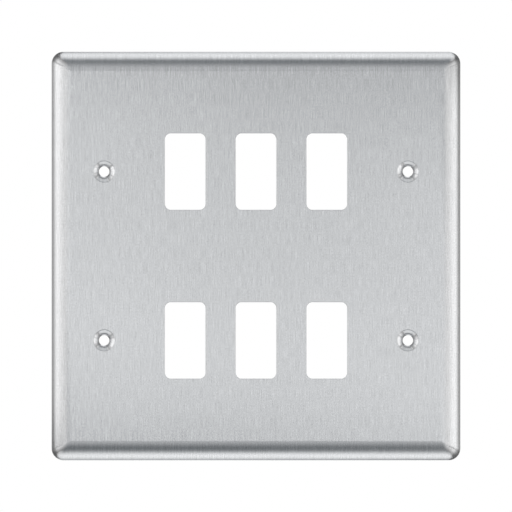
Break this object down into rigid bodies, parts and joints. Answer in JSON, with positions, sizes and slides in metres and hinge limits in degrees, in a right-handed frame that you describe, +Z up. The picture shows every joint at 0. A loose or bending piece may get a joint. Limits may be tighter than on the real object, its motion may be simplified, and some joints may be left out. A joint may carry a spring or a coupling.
{
  "type": "grid switch plate",
  "caption": "Square pressed steel front plate with rolled edges, rounded apertures for grid switch modules in rows, and dimpled fixing screw holes at its sides.",
  "frame": {"origin": "middle of the plate on the wall plane, where the rim of the pressing rests", "axes": "+Z up, -Y out of the wall towards the viewer, +X to the viewer's right"},
  "size_m": [0.146, 0.0075, 0.146],
  "materials": {
    "brushed_steel": "brushed, with the grain upright"
  },
  "bodies": {
    "root": {"front_plate": "brushed_steel"}
  },
  "joints": []
}
